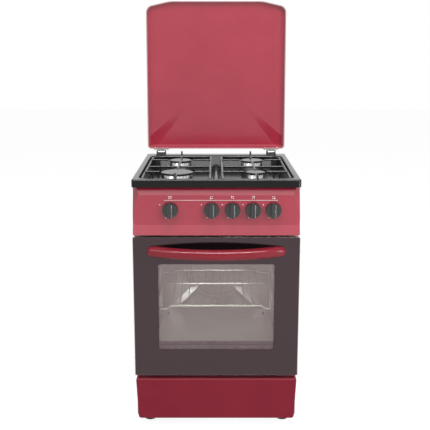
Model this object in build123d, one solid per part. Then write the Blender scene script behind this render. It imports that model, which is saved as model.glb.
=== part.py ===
from build123d import *
import math
import os

# Free-standing gas cooker, 50 cm wide, with a hinged lid over the hob.
# Millimetres. X is to the right, Y to the back and Z up. While the pieces are made, Y is measured
# from the front face of the oven door; the last step moves the origin to the middle of the base.

# Overall sizes
width = 500.0
hob_depth = 550.0
hob_height = 800.0
foot_height = 40.0
body_side_inset = 2.0
body_back_inset = 6.0
door_depth = 33.0
door_body_gap = 7.0

# Sheets, glass and clearances
sheet = 1.0
enamel_sheet = 1.2
hob_sheet = 1.5
glass = 4.0
soft_gap = 0.3
running_gap = 0.05
screw_gap = 0.2
cut_over = 1.0

# Hob
skirt_height = 23.0
skirt_front_corner = 10.0
skirt_back_corner = 6.0
rim_round = 4.0
rim_side = 16.0
rim_front = 12.0
rim_back = 42.0
well_corner = 45.0
well_depth = 40.0
well_floor_round = 8.0
well_slope = 28.0
ridge_half_width = 12.0
ridge_height = 11.0
ring_bead_gap = 12.0
ring_bead_radius = 3.0

# Burners: how far their middles lie from the well's side, the hob's front and its back, and cap radii
burner_side_inset = 112.0
burner_front_y = 145.0
burner_back_inset = 155.0
rapid_radius = 50.0
medium_radius = 37.0
small_radius = 30.0
cap_height = 6.0
cap_round = 3.0
head_height = 34.0
head_foot_height = 4.0
head_flare = 5.0
head_inset = 3.0
flame_slot_width = 2.0
flame_slot_height = 6.0
flame_slot_count = 28
burner_neck_radius = 17.0
neck_length = 9.0
cup_wall = 2.5
cup_flange = 7.0
cup_depth = 58.0
injector_reach = 30.0
injector_width = 16.0

# Pan supports
support_wire = 3.5
finger_wire = 3.0
finger_over_frame = 4.0
finger_stub_rise = 16.0
support_inner_x = 19.0
support_wall_gap = 8.5
support_end_gap = 9.0
support_inner_bend = 12.0
finger_tip_gap = 4.0
weld_stand = 2.0
leg_inset = 60.0
outer_leg_inset = 24.0

# Lid, drawn closed and then opened
lid_side_inset = 4.0
lid_front = 4.5
lid_support_gap = 6.0
lid_hob_gap = 3.0
lid_edge_round = 4.0
lid_front_run = 83.0
lid_front_drop = 18.8
lid_front_corner = 25.0
lid_front_blend = 120.0
lid_back_corner = 12.0
lid_open_angle = 92.0

# The shallow form pressed in the lid beside its hinges
relief_rise = 5.0
relief_length = 174.0
relief_margin = 7.0
relief_edge = 6.0
relief_top_half = 87.0
relief_side_run = 43.0
relief_foot_inset = 36.0

# Lid hinges
lid_hinge_inset = 52.0
lid_axis_inset = 15.0
lid_axis_rise = 8.0
lid_hinge_reach = 12.5
lid_pin_radius = 3.0
knuckle_radius = 5.0
knuckle_length = 23.0
leaf_flange_width = 56.0
leaf_flange_thick = 2.5
leaf_neck_width = 38.0
leaf_neck_thick = 6.0
leaf_screw_x = 22.0
leaf_screw_radius = 2.0
leaf_screw_head = 3.6
leaf_screw_head_height = 2.0
leaf_screw_length = 6.5
hinge_base_width = 34.0
hinge_base_margin = 4.0
hinge_base_thick = 2.5
hinge_ear_radius = 6.5
hinge_ear_gap = 1.0

# Control panel: heights of its bends and how far each lies behind the door's face
panel_hob_gap = 1.0
panel_height = 143.0
panel_low_rise = 29.0
panel_high_drop = 24.0
panel_face = 10.0
panel_top_setback = 20.0
panel_corner_width = 20.0
panel_corner_height = 86.0
panel_corner_straight = 19.0
panel_corner_bow_width = 11.0
panel_corner_bow_height = 39.0

# Knobs and gas taps
knob_x = (-137.0, -14.0, 48.0, 109.0, 169.0)
knob_drop = 68.0
knob_radius = 23.5
knob_face_radius = 22.0
knob_base_depth = 11.0
knob_grip_width = 17.0
knob_grip_depth = 12.0
knob_grip_round = 1.5
knob_crown_extra = 3.5
knob_grip_margin = 0.8
knob_panel_gap = 4.0
spindle_radius = 4.0
spindle_hole = 6.0
spindle_depth_in_knob = 14.0
tap_setback = 20.0
tap_length = 40.0
tap_radius = 13.0
tap_end_wall = 6.0
plug_radius = 9.0
plug_bore_floor = 5.0
spindle_push = 3.0
manifold_radius = 9.0
manifold_bore = 7.0
saddle_width = 20.0
saddle_depth = 24.0
supply_inset = 32.0
supply_radius = 8.0
inlet_radius = 10.48
inlet_bore = 6.0
inlet_length = 18.0
inlet_collar_radius = 14.0
inlet_collar = 4.0
pipe_radius = 4.0
pipe_bend = 10.0

# Oven
oven_side_gap = 52.0
oven_back_gap = 74.0
oven_sill_gap = 2.0
oven_head = 69.0
front_frame_gap = 1.0
front_frame_drop = 3.0
floor_plate_height = 38.0
floor_plate_gap = 3.0
floor_plate_setback = 9.0
floor_slot_length = 30.0
floor_slot_width = 6.0
floor_slot_inset = 24.0
back_disc_radius = 113.0
back_disc_rise = 7.0
back_ring_slope = 8.0
back_ring_step = 16.0
back_rib_width = 36.0
back_emboss = 8.0
insulation_thick = 18.0
insulation_rise = 34.0
oven_burner_radius = 11.0
oven_burner_rise = 20.0
oven_burner_setback = 70.0
oven_burner_foot = 14.0
oven_pipe_inset = 19.0
oven_pipe_back_gap = 39.0
seal_width = 8.0
seal_inner_margin = 4.0

# Oven shelf and its side runners
shelf_rise = 12.0
shelf_end_drop = 9.0
shelf_wire = 3.0
shelf_side_wire = 3.06
shelf_bar = 2.0
shelf_weld = 0.6
shelf_pitch = 25.0
shelf_bar_count = 12
shelf_flat_margin = 3.5
shelf_front_gap = 20.0
shelf_brace_setback = 225.0
shelf_brace_half = 163.0
shelf_back_gap = 30.0
shelf_ramp = 11.0
shelf_bend = 6.0
runner_wire = 2.5
runner_spacing = 80.0
runner_post_inset = 40.0
runner_post_width = 12.0

# Oven door
door_panel_gap = 5.0
door_drawer_gap = 12.0
door_glass_corner = 3.0
door_frame_side = 14.0
door_frame_low = 15.0
door_frame_high = 6.0
door_window_side = 17.0
door_window_low = 84.0
door_window_high = 16.0
inner_glass_margin = 13.0

# Door handle, a bowed bar
handle_drop = 44.0
handle_side = 43.4
handle_reach = 60.0
handle_thick = 21.0
handle_height = 30.0
handle_end_thick = 12.0
handle_foot = 30.0
handle_edge_round = 11.0

# Door hinges
door_axis_y = 20.0
door_axis_rise = 18.0
door_bracket_inset = 36.0
door_bracket_thick = 3.0
door_bracket_eye = 6.0
door_bracket_run = 26.0
door_bracket_foot = 16.0
door_arm_thick = 3.0
door_arm_gap = 1.0
door_arm_height = 100.0
door_arm_depth = 10.0
door_arm_flange = 15.0
door_arm_step = 18.0
door_pin_radius = 3.0
door_slot_gap = 2.0

# Drawer
drawer_base_gap = 2.0
drawer_height = 135.0
drawer_taper = 6.0
drawer_bottom_corner = 9.0
drawer_top_corner = 7.0
drawer_top_setback = 2.0
drawer_bottom_setback = 7.0
drawer_body_gap = 4.0
drawer_edge_round = 5.0
drawer_lip = 14.0
tray_side_gap = 25.0
tray_back_gap = 64.0
tray_rise = 8.0
tray_height = 100.0
tray_plate_side = 11.0
tray_plate_margin = 10.0
runner_width = 40.0
runner_leg = 18.0
runner_thick = 1.5

# Body panels
side_flange = 16.0
flange_top_gap = 45.0
base_flange = 25.0
sill_drawer_gap = 1.0
sill_height = 26.0
sill_depth = 30.0
vent_count = 9
vent_width = 30.0
vent_height = 5.0
vent_pitch = 42.0
vent_drops = (55.0, 70.0, 125.0, 140.0)
back_screw_count = 4
back_screw_margin = 60.0
back_screw_radius = 2.0
back_screw_head = 4.0
back_screw_head_height = 2.4
back_screw_length = 8.0

# Feet
foot_side_inset = 35.0
foot_front_inset = 60.0
foot_back_inset = 44.0
foot_pad_radius = 19.0
foot_pad_height = 10.0
foot_body_radius = 14.0
foot_stud_radius = 4.9
foot_stud_length = 4.0

# Widths that follow: half widths from the middle of the cooker
half = width / 2
body_half = half - body_side_inset
inside_half = body_half - sheet
well_half = half - rim_side
burner_x = well_half - burner_side_inset
lid_half = half - lid_side_inset
lid_front_flat = lid_half - lid_front_run
lid_hinge_x = half - lid_hinge_inset
supply_x = inside_half - supply_inset
oven_pipe_x = oven_pipe_inset - inside_half
cavity_half = inside_half - oven_side_gap
front_frame_half = inside_half - front_frame_gap
shelf_flat_half = shelf_pitch * (shelf_bar_count - 1) / 2 + shelf_flat_margin
door_frame_half = half - door_frame_side
door_window_half = cavity_half - door_window_side
handle_half = half - handle_side
door_bracket_x = inside_half - door_bracket_inset
drawer_top_half = body_half
drawer_bottom_half = body_half - drawer_taper
tray_half = inside_half - tray_side_gap
tray_plate_half = inside_half - tray_plate_side
foot_x = body_half - foot_side_inset

# Depths that follow, behind the door's face
body_front = door_depth + door_body_gap
body_back = hob_depth - body_back_inset
front_frame_y = body_front - enamel_sheet
well_front = rim_front
well_back = hob_depth - rim_back
burner_back_y = hob_depth - burner_back_inset
lid_axis_y = hob_depth - lid_axis_inset
lid_back = lid_axis_y - lid_hinge_reach
tap_front = panel_face + tap_setback
manifold_y = tap_front + tap_length / 2
cavity_back = body_back - oven_back_gap
oven_burner_front = body_front + oven_burner_setback
oven_pipe_back = body_back - oven_pipe_back_gap
shelf_front = body_front + shelf_front_gap
shelf_back = cavity_back - shelf_back_gap
drawer_front_back = body_front - drawer_body_gap
tray_back = body_back - tray_back_gap
foot_front_y = body_front + foot_front_inset
foot_back_y = body_back - foot_back_inset

# Heights that follow, from the hob down to the door and from the floor up to the oven
skirt_bottom = hob_height - skirt_height
rim_underside = hob_height - hob_sheet
well_floor = hob_height - well_depth
tub_underside = well_floor - hob_sheet
head_top = well_floor + head_height
finger_level = head_top + cap_height
support_level = finger_level - finger_over_frame
finger_stub_top = finger_level + finger_stub_rise
lid_top = finger_stub_top + lid_support_gap
lid_bottom = hob_height + lid_hob_gap
lid_axis_z = hob_height + lid_axis_rise
panel_top = skirt_bottom - panel_hob_gap
panel_bottom = panel_top - panel_height
panel_low_bend = panel_bottom + panel_low_rise
panel_high_bend = panel_top - panel_high_drop
panel_corner_bottom = panel_top - panel_corner_height
knob_z = panel_top - knob_drop
manifold_z = knob_z - tap_radius - manifold_radius
door_top = panel_bottom - door_panel_gap
handle_z = door_top - handle_drop
front_frame_top = door_top - front_frame_drop
cavity_top = front_frame_top - oven_head
drawer_bottom = foot_height + drawer_base_gap
drawer_top = drawer_bottom + drawer_height
tray_bottom = foot_height + tray_rise
door_bottom = drawer_top + door_drawer_gap
door_axis_z = door_bottom + door_axis_rise
sill_bottom = drawer_top + sill_drawer_gap
sill_top = sill_bottom + sill_height
cavity_bottom = sill_top + oven_sill_gap
cavity_middle = (cavity_bottom + cavity_top) / 2
back_disc_z = cavity_middle + back_disc_rise
insulation_bottom = cavity_bottom + insulation_rise
oven_burner_z = cavity_bottom + oven_burner_rise
shelf_level = cavity_middle + shelf_rise
door_frame_bottom = door_bottom + door_frame_low
door_frame_top = door_top - door_frame_high
door_window_bottom = cavity_bottom + door_window_low
door_window_top = cavity_top - door_window_high

# Other sizes that follow
wall_run = well_depth * math.tan(math.radians(well_slope))
wall_skin = hob_sheet / math.cos(math.radians(well_slope))
back_screw_span = hob_height - foot_height - 2 * back_screw_margin
back_screw_step = back_screw_span / (back_screw_count - 1)
back_screw_heights = [foot_height + back_screw_margin + step * back_screw_step
                      for step in range(back_screw_count)]
burners = (
    ("front_left", -burner_x, burner_front_y, rapid_radius),
    ("back_left", -burner_x, burner_back_y, medium_radius),
    ("back_right", burner_x, burner_back_y, medium_radius),
    ("front_right", burner_x, burner_front_y, small_radius),
)

pieces = {}


def slab(x0, x1, y0, y1, z0, z1):
    """A block between two corners."""
    middle = Pos((x0 + x1) / 2, (y0 + y1) / 2, (z0 + z1) / 2)
    return middle * Box(x1 - x0, y1 - y0, z1 - z0)


def rod(start, end, radius):
    """A round rod between two points."""
    run = Vector(*end) - Vector(*start)
    return Part(Solid.make_cylinder(radius, run.length, Plane(start, z_dir=run)).wrapped)


def bent_rod(points, radius, bends, close=False):
    """A round rod along straight runs joined by arcs."""
    path = FilletPolyline(*points, radius=bends, close=close)
    section = Plane(path @ 0, z_dir=path % 0) * Circle(radius)
    return sweep(section, path)


def upright(sketch, z0, z1):
    """A plan outline raised from one height to another."""
    return extrude(Plane.XY.offset(z0) * sketch, z1 - z0)


def sunk(sketch, z0, z1):
    """A plan outline pressed down from one height to a lower one, with the well's sloping sides."""
    return extrude(Plane.XY.offset(z0) * sketch, amount=z1 - z0, taper=well_slope)


def facing(sketch, y0, y1):
    """A front outline carried from one depth to another."""
    return extrude(Plane.XZ.offset(-y1) * sketch, y1 - y0)


def across(sketch, x0, x1):
    """A side outline, drawn as depth and height, carried from left to right."""
    return extrude(Plane.YZ.offset(x0) * sketch, x1 - x0)


def round_face(shape, axis, radius):
    """Round the edges of the face that lies furthest back along an axis."""
    return shape.fillet(radius, shape.faces().sort_by(axis)[0].edges())


def flip(shape):
    """The same piece on the other side of the cooker."""
    return mirror(shape, about=Plane.YZ)


def group(shapes):
    """Separate solids kept together as one piece of the list."""
    return Compound([solid for shape in shapes for solid in shape.solids()])


def both_sides(shape):
    """A piece and its mirror image, kept together."""
    return group([flip(shape), shape])


def side_panel():
    """The right side: a sheet with its front and back edges turned in, drilled for the back screws."""
    flange_top = hob_height - flange_top_gap
    web = slab(inside_half, body_half, body_front, body_back, foot_height, rim_underside)
    inner = body_half - side_flange
    front = slab(inner, body_half, body_front, body_front + sheet, foot_height, flange_top)
    back = slab(inner, body_half, body_back - sheet, body_back, foot_height, flange_top)
    holes = [back_screw_hole(z) for z in back_screw_heights]
    return web + front + back - holes


def back_screw_x():
    return body_half - side_flange / 2


def back_screw_hole(z):
    start = (back_screw_x(), body_back - back_screw_length, z)
    end = (back_screw_x(), body_back + back_screw_length, z)
    return rod(start, end, back_screw_radius + screw_gap)


def back_screw(z):
    x = back_screw_x()
    face = body_back + sheet
    shank = rod((x, face - back_screw_length, z), (x, face, z), back_screw_radius)
    head = rod((x, face, z), (x, face + back_screw_head_height, z), back_screw_head)
    return shank + head


def back_panel():
    """The flat back sheet with its vents and the hole for the gas inlet."""
    panel = slab(-inside_half, inside_half, body_back, body_back + sheet, foot_height, rim_underside)
    holes = [back_screw_hole(z) for z in back_screw_heights]
    vents = []
    for drop in vent_drops:
        for step in range(vent_count):
            x = (step - (vent_count - 1) / 2) * vent_pitch
            slot = SlotOverall(vent_width, vent_height)
            place = Pos(x, hob_height - drop)
            vents.append(facing(place * slot, body_back - cut_over, body_back + sheet + cut_over))
    inlet_start = (supply_x, body_back - cut_over, manifold_z)
    inlet_end = (supply_x, body_back + sheet + cut_over, manifold_z)
    inlet_hole = rod(inlet_start, inlet_end, inlet_radius + sheet)
    return panel - holes - [flip(hole) for hole in holes] - vents - inlet_hole


def foot_places():
    return [(x, y) for y in (foot_front_y, foot_back_y) for x in (-foot_x, foot_x)]


def base_pan():
    """The tray that ties the sides together and takes the feet."""
    top = foot_height + enamel_sheet
    front = body_front + sheet
    back = body_back - sheet
    floor = slab(-inside_half, inside_half, front, back, foot_height, top)
    flange_top = foot_height + base_flange
    edge = slab(inside_half - sheet, inside_half, front, back, foot_height, flange_top)
    rear = slab(-inside_half, inside_half, back - sheet, back, foot_height, flange_top)
    holes = []
    for x, y in foot_places():
        holes.append(rod((x, y, foot_height - cut_over), (x, y, flange_top), foot_stud_radius + screw_gap))
    return floor + edge + flip(edge) + rear - holes


def foot(x, y):
    """A levelling foot: pad, body and threaded stud."""
    pad = rod((x, y, 0), (x, y, foot_pad_height), foot_pad_radius)
    body = rod((x, y, foot_pad_height), (x, y, foot_height), foot_body_radius)
    stud_top = foot_height + enamel_sheet + foot_stud_length
    stud = rod((x, y, foot_height), (x, y, stud_top), foot_stud_radius)
    return pad + body + stud


def sill_rail():
    """The channel between drawer and oven that carries the door hinges."""
    front = body_front + sheet
    back = front + sill_depth
    web = slab(-inside_half, inside_half, front, front + sheet, sill_bottom, sill_top)
    roof = slab(-inside_half, inside_half, front, back, sill_top - sheet, sill_top)
    floor = slab(-inside_half, inside_half, front, back, sill_bottom, sill_bottom + sheet)
    return web + roof + floor


def skirt_outline(inset):
    """The hob seen from above, with its two sizes of corner."""
    plate = Pos(0, hob_depth / 2) * Rectangle(width - 2 * inset, hob_depth - 2 * inset)
    rows = plate.vertices().group_by(Axis.Y)
    plate = fillet(rows[0], skirt_front_corner - inset)
    return fillet(plate.vertices().group_by(Axis.Y)[-1], skirt_back_corner - inset)


def well_outline(grow):
    size_x = 2 * (well_half + grow)
    size_y = well_back - well_front + 2 * grow
    return Pos(0, (well_front + well_back) / 2) * RectangleRounded(size_x, size_y, well_corner + grow)


def ridge(inset, y0, y1, base):
    """The raised bead along the middle of the well."""
    reach = ridge_half_width - inset
    rise = ridge_height - inset
    arch = ThreePointArc((-reach, 0), (0, rise), (reach, 0))
    face = make_face([arch, Line((reach, 0), (-reach, 0))])
    return facing(Pos(0, base) * face, y0, y1)


def hob_top():
    """Pressed steel hob: skirt, rim, well, centre bead and a ring bead round each burner."""
    skirt = upright(skirt_outline(0), skirt_bottom, hob_height)
    skirt = fillet(skirt.edges().group_by(Axis.Z)[-1], rim_round)
    skirt = skirt - upright(skirt_outline(hob_sheet), skirt_bottom, rim_underside)
    tub = sunk(well_outline(wall_skin), rim_underside, tub_underside)
    tub = fillet(tub.edges().group_by(Axis.Z)[0], well_floor_round + hob_sheet)
    pocket = sunk(well_outline(0), hob_height, well_floor)
    pocket = fillet(pocket.edges().group_by(Axis.Z)[0], well_floor_round)
    hob = skirt + tub - pocket
    rim = hob.faces().sort_by(Axis.Z)[-1]
    hob = hob.fillet(rim_round, rim.inner_wires()[0].edges())
    hob = hob + (ridge(0, well_front, well_back, well_floor) & tub)
    bead_end = wall_run + well_floor_round + hob_sheet
    front_end = well_front + bead_end
    back_end = well_back - bead_end
    inner_reach = ridge_half_width - hob_sheet
    hollow = ridge(hob_sheet, front_end, back_end, well_floor)
    slot = slab(-inner_reach, inner_reach, front_end, back_end, tub_underside, well_floor)
    hob = hob - hollow - slot
    for name, x, y, radius in burners:
        bead = Torus(radius + ring_bead_gap, ring_bead_radius)
        reach = radius + ring_bead_gap + 2 * ring_bead_radius
        bead = bead & slab(-reach, reach, -reach, reach, -hob_sheet / 2, 2 * ring_bead_radius)
        hole = rod((x, y, tub_underside - cut_over), (x, y, hob_height), burner_neck_radius + screw_gap)
        hob = hob + Pos(x, y, well_floor) * bead - hole
    return hob


def burner_cup(x, y):
    """The cup under the hob that mixes gas and air, with its injector block at the front."""
    inner = burner_neck_radius + screw_gap
    outer = inner + cup_wall
    bottom = tub_underside - cup_depth
    body = rod((x, y, bottom), (x, y, tub_underside), outer)
    flange = rod((x, y, tub_underside - cup_wall), (x, y, tub_underside), outer + cup_flange)
    block = slab(x - injector_width / 2, x + injector_width / 2, y - injector_reach, y,
                 knob_z - injector_width / 2, knob_z + injector_width / 2)
    hollow = rod((x, y, bottom + cup_wall), (x, y, tub_underside), inner)
    return body + flange + block - hollow


def burner_head(x, y, radius):
    """Aluminium burner head: a foot, a skirt that flares downwards and flame slots round its top."""
    top_radius = radius - head_inset
    foot_radius = radius + head_flare
    skirt_bottom_z = well_floor + head_foot_height
    foot = rod((x, y, well_floor), (x, y, skirt_bottom_z), foot_radius)
    skirt = Cone(foot_radius, top_radius, head_top - skirt_bottom_z)
    skirt = Pos(x, y, (skirt_bottom_z + head_top) / 2) * skirt
    neck_bottom = tub_underside - neck_length
    neck = rod((x, y, neck_bottom), (x, y, well_floor), burner_neck_radius)
    bore_radius = burner_neck_radius - cup_wall
    bore = rod((x, y, neck_bottom), (x, y, head_top - flame_slot_height), bore_radius)
    slots = []
    for turn in PolarLocations(top_radius, flame_slot_count):
        tooth = Box(2 * head_inset, flame_slot_width, flame_slot_height)
        slots.append(Pos(x, y, head_top - flame_slot_height / 2) * turn * tooth)
    return foot + skirt + neck - bore - slots


def burner_cap(x, y, radius):
    """Enamelled cap that rests on the head."""
    cap = rod((x, y, head_top), (x, y, head_top + cap_height), radius)
    return fillet(cap.edges().group_by(Axis.Z)[-1], cap_round)


def pan_support(front_radius, back_radius):
    """The right-hand wire support: a frame, a cross wire, fingers round two burners and four legs.

    The wires are separate solids that meet at their welds, a little way off the frame.
    """
    inner_x = support_inner_x
    outer_x = well_half - support_wall_gap - support_wire
    front = well_front + support_end_gap + support_wire
    back = well_back - support_end_gap - support_wire
    middle = (burner_front_y + burner_back_y) / 2
    outer_bend = well_corner - support_wall_gap - support_wire
    corners = [(inner_x, front, support_level), (outer_x, front, support_level),
               (outer_x, back, support_level), (inner_x, back, support_level)]
    bends = [support_inner_bend, outer_bend, outer_bend, support_inner_bend]
    frame = bent_rod(corners, support_wire, bends, close=True)
    support = frame + rod((inner_x, middle, support_level), (outer_x, middle, support_level), finger_wire)
    for y, far_end, radius in ((burner_back_y, back, back_radius), (burner_front_y, front, front_radius)):
        way = math.copysign(1, far_end - y)
        reach = radius + finger_tip_gap + finger_wire
        ends = (
            ((inner_x, y), (burner_x - reach, y)),
            ((outer_x, y), (burner_x + reach, y)),
            ((burner_x, middle), (burner_x, y - way * reach)),
            ((burner_x, far_end), (burner_x, y + way * reach)),
        )
        for start, tip in ends:
            support = support + rod((*start, finger_level), (*tip, finger_level), finger_wire)
            support = support + Pos(*tip, finger_level) * Sphere(finger_wire)
        foot, head = (burner_x, far_end, support_level), (burner_x, far_end, finger_stub_top)
        support = support + rod(foot, head, finger_wire)
        leg_x = outer_x - outer_leg_inset
        support = support + rod((leg_x, y, well_floor), (leg_x, y, finger_level), finger_wire)
    for y in (front + leg_inset, back - leg_inset):
        support = support + rod((inner_x, y, well_floor), (inner_x, y, support_level), finger_wire)
    weld = support_wire + weld_stand
    rows = [front - weld, front + weld, middle - weld, middle + weld, back - weld, back + weld]
    columns = [inner_x - weld, inner_x + weld, outer_x - weld, outer_x + weld]
    bottom = well_floor - cut_over
    top = finger_stub_top + cut_over
    wires = [support & slab(columns[0], columns[1], rows[0], rows[-1], bottom, top),
             support & slab(columns[2], columns[3], rows[0], rows[-1], bottom, top)]
    for y0, y1 in zip(rows, rows[1:]):
        wires.append(support & slab(columns[1], columns[2], y0, y1, bottom, top))
    return group(wires)


def lid_outline():
    """The lid seen from above: a flat front edge that falls back to rounded corners."""
    shoulder = lid_front + lid_front_drop
    points = [(-lid_front_flat, lid_front), (lid_front_flat, lid_front), (lid_half, shoulder),
              (lid_half, lid_back), (-lid_half, lid_back), (-lid_half, shoulder)]
    plate = make_face(Polyline(*points, close=True))
    plate = fillet(plate.vertices().group_by(Axis.Y)[0], lid_front_blend)
    outer = lid_half - lid_front_corner
    corners = [v for v in plate.vertices() if v.Y < lid_axis_y / 2 and abs(v.X) > outer]
    plate = fillet(corners, lid_front_corner)
    return fillet(plate.vertices().group_by(Axis.Y)[-1], lid_back_corner)


def open_lid(shape):
    """Swing a piece drawn with the lid closed to where it is with the lid open."""
    axis = Axis((0, lid_axis_y, lid_axis_z), (-1, 0, 0))
    return shape.rotate(axis, lid_open_angle)


def leaf_screw_rod(x, start, end, radius):
    """A rod along a lid screw's axis, between two distances behind the lid's back lip."""
    z = (lid_bottom + lid_top) / 2
    return rod((x, lid_back + start, z), (x, lid_back + end, z), radius)


def leaf_screw_xs():
    return [lid_hinge_x - leaf_screw_x, lid_hinge_x + leaf_screw_x]


def leaf_screw_hole(x):
    end = leaf_flange_thick + cut_over
    return leaf_screw_rod(x, -leaf_screw_length, end, leaf_screw_radius + screw_gap)


def under(form, a, b, c):
    """What lies below the sloping plane through three points."""
    normal = (Vector(*b) - Vector(*a)).cross(Vector(*c) - Vector(*a))
    upward = normal if normal.Z > 0 else -normal
    return split(form, Plane(a, z_dir=upward), keep=Keep.BOTTOM)


def lid_relief():
    """The form pressed in the lid: it rises towards the hinges between two sloping flanks."""
    top = lid_top + relief_rise
    far = lid_back - relief_length
    near = lid_back - relief_margin
    foot = near - relief_edge
    side = lid_half - relief_margin
    corner = (side, lid_back - relief_side_run, lid_top)
    flank_foot = (lid_half - relief_foot_inset, foot, top)
    form = slab(-side, side, far, near, lid_top, top)
    form = under(form, (-side, far, lid_top), (side, far, lid_top), (0, foot, top))
    form = under(form, (-side, near, lid_top), (side, near, lid_top), (0, foot, top))
    for turn in range(2):
        form = under(form, (relief_top_half, far, lid_top), corner, flank_foot)
        form = under(form, (side, near, lid_top), corner, (side - relief_edge, foot, top))
        form = flip(form)
    return form


def lid_panel():
    """Enamelled sheet lid with a lip all round and the pressed form beside its hinges."""
    outline = lid_outline()
    body = upright(outline, lid_bottom, lid_top)
    body = fillet(body.edges().group_by(Axis.Z)[-1], lid_edge_round) + lid_relief()
    hollow = upright(offset(outline, -enamel_sheet), lid_bottom, lid_top - enamel_sheet)
    hollow = hollow + Pos(0, 0, -enamel_sheet) * lid_relief()
    holes = [leaf_screw_hole(x) for x in leaf_screw_xs()]
    return open_lid(body - hollow - holes - [flip(hole) for hole in holes])


def lid_leaf():
    """The right hinge leaf: knuckle on the pin, a neck that widens, and a flange on the lid's back lip."""
    x = lid_hinge_x
    side = knuckle_length / 2
    flange_back = lid_back + leaf_flange_thick
    neck_half = leaf_neck_width / 2
    straight = lid_axis_y - hinge_ear_radius - hinge_ear_gap
    outline = Polyline((-side, lid_axis_y), (-side, straight), (-neck_half, flange_back),
                       (neck_half, flange_back), (side, straight), (side, lid_axis_y), close=True)
    neck_bottom = lid_axis_z - leaf_neck_thick / 2
    neck = upright(Pos(x, 0) * make_face(outline), neck_bottom, neck_bottom + leaf_neck_thick)
    knuckle = rod((x - side, lid_axis_y, lid_axis_z), (x + side, lid_axis_y, lid_axis_z), knuckle_radius)
    flange_half = leaf_flange_width / 2
    flange_top = lid_top - lid_edge_round
    flange = slab(x - flange_half, x + flange_half, lid_back, flange_back, lid_bottom, flange_top)
    holes = [leaf_screw_hole(place) for place in leaf_screw_xs()]
    return open_lid(neck + knuckle + flange - lid_pin_rod(lid_pin_radius + running_gap) - holes)


def leaf_screw(x):
    face = leaf_flange_thick
    head = leaf_screw_rod(x, face, face + leaf_screw_head_height, leaf_screw_head)
    shank = leaf_screw_rod(x, face - leaf_screw_length, face, leaf_screw_radius)
    return open_lid(head + shank)


def lid_pin_rod(radius):
    """A rod along the right hinge's pin, from one outer face of the hinge base to the other."""
    reach = hinge_base_width / 2
    start = (lid_hinge_x - reach, lid_axis_y, lid_axis_z)
    return rod(start, (lid_hinge_x + reach, lid_axis_y, lid_axis_z), radius)


def lid_hinge_base():
    """The right hinge base on the back rim, with an ear each side of the knuckle."""
    x = lid_hinge_x
    outer = hinge_base_width / 2
    front = well_back + rim_round
    back = hob_depth - rim_round - hinge_base_margin
    base = slab(x - outer, x + outer, front, back, hob_height, hob_height + hinge_base_thick)
    for way in (-1, 1):
        near = x + way * (knuckle_length / 2 + soft_gap)
        far = x + way * outer
        low, high = min(near, far), max(near, far)
        post = slab(low, high, lid_axis_y - hinge_ear_radius, lid_axis_y + hinge_ear_radius,
                    hob_height, lid_axis_z)
        eye = rod((low, lid_axis_y, lid_axis_z), (high, lid_axis_y, lid_axis_z), hinge_ear_radius)
        base = base + post + eye
    return base - lid_pin_rod(lid_pin_radius + running_gap)


def panel_form(inset):
    """The control panel as a solid, drawn smaller by a sheet for its hollow inside."""
    reach = body_half - inset
    profile = Polyline((inset, panel_bottom + inset), (panel_face + inset, panel_low_bend + inset),
                       (panel_face + inset, panel_high_bend), (panel_top_setback + inset, panel_top),
                       (body_front, panel_top), (body_front, panel_bottom + inset), close=True)
    form = across(make_face(profile), -reach, reach)
    start = reach - panel_corner_width
    top = panel_top - panel_corner_straight
    middle = (reach - panel_corner_bow_width, panel_corner_bottom + panel_corner_bow_height)
    curve = ThreePointArc((reach, panel_corner_bottom), middle, (start, top))
    edge = Polyline((start, top), (start, panel_top + cut_over), (reach + cut_over, panel_top + cut_over),
                    (reach + cut_over, panel_corner_bottom), (reach, panel_corner_bottom))
    corner = make_face([curve, *edge.edges()])
    cutter = extrude(Plane.XZ.offset(-panel_face - inset) * corner, amount=body_front, dir=(1, 1, 0))
    front = extrude(Plane.XZ.offset(-panel_face - inset) * corner, amount=body_front, dir=(-1, -1, 0))
    return form - cutter - flip(cutter) - front - flip(front)


def control_panel():
    """Folded steel fascia, open behind, with a hole for each spindle."""
    shell = panel_form(0) - panel_form(sheet)
    holes = [rod((x, -body_front, knob_z), (x, body_front, knob_z), spindle_hole) for x in knob_x]
    return shell - holes


def knob_back():
    return panel_face - knob_panel_gap


def knob(x):
    """Moulded knob: a round base and a crowned grip bar across it, bored for the spindle."""
    back = knob_back()
    face = back - knob_base_depth
    tip = face - knob_grip_depth
    base = Solid.make_cone(knob_radius, knob_face_radius, knob_base_depth,
                           Plane((x, back, knob_z), z_dir=(0, -1, 0)))
    grip_length = 2 * (knob_face_radius - knob_grip_margin)
    root = face + knob_base_depth / 2
    crown = knob_grip_width / 2 + knob_crown_extra
    section = Pos(x, (tip + root) / 2) * Rectangle(knob_grip_width, root - tip)
    section = section & Pos(x, tip + crown) * Circle(crown)
    section = fillet(section.vertices().group_by(Axis.Y)[0], knob_grip_round)
    outline = Pos(x, knob_z) * Rot(0, 0, 90) * SlotOverall(grip_length, knob_grip_width)
    bar = upright(section, knob_z - grip_length / 2, knob_z + grip_length / 2) & facing(outline, tip, root)
    bore = rod((x, back, knob_z), (x, back - spindle_depth_in_knob, knob_z), spindle_radius + running_gap)
    return Part(base.wrapped) + bar - bore


def plug_ends():
    front = tap_front + tap_end_wall + soft_gap
    back = tap_front + tap_length - tap_end_wall - soft_gap
    return front, back


def tap_spindle(x):
    front = knob_back() - spindle_depth_in_knob
    back = plug_ends()[1] - plug_bore_floor - spindle_push - soft_gap
    return rod((x, front, knob_z), (x, back, knob_z), spindle_radius)


def tap_plug(x):
    """The turning plug inside a tap, which the spindle slides in."""
    front, back = plug_ends()
    body = rod((x, front, knob_z), (x, back, knob_z), plug_radius)
    bore = rod((x, front, knob_z), (x, back - plug_bore_floor, knob_z), spindle_radius + running_gap)
    return body - bore


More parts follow.
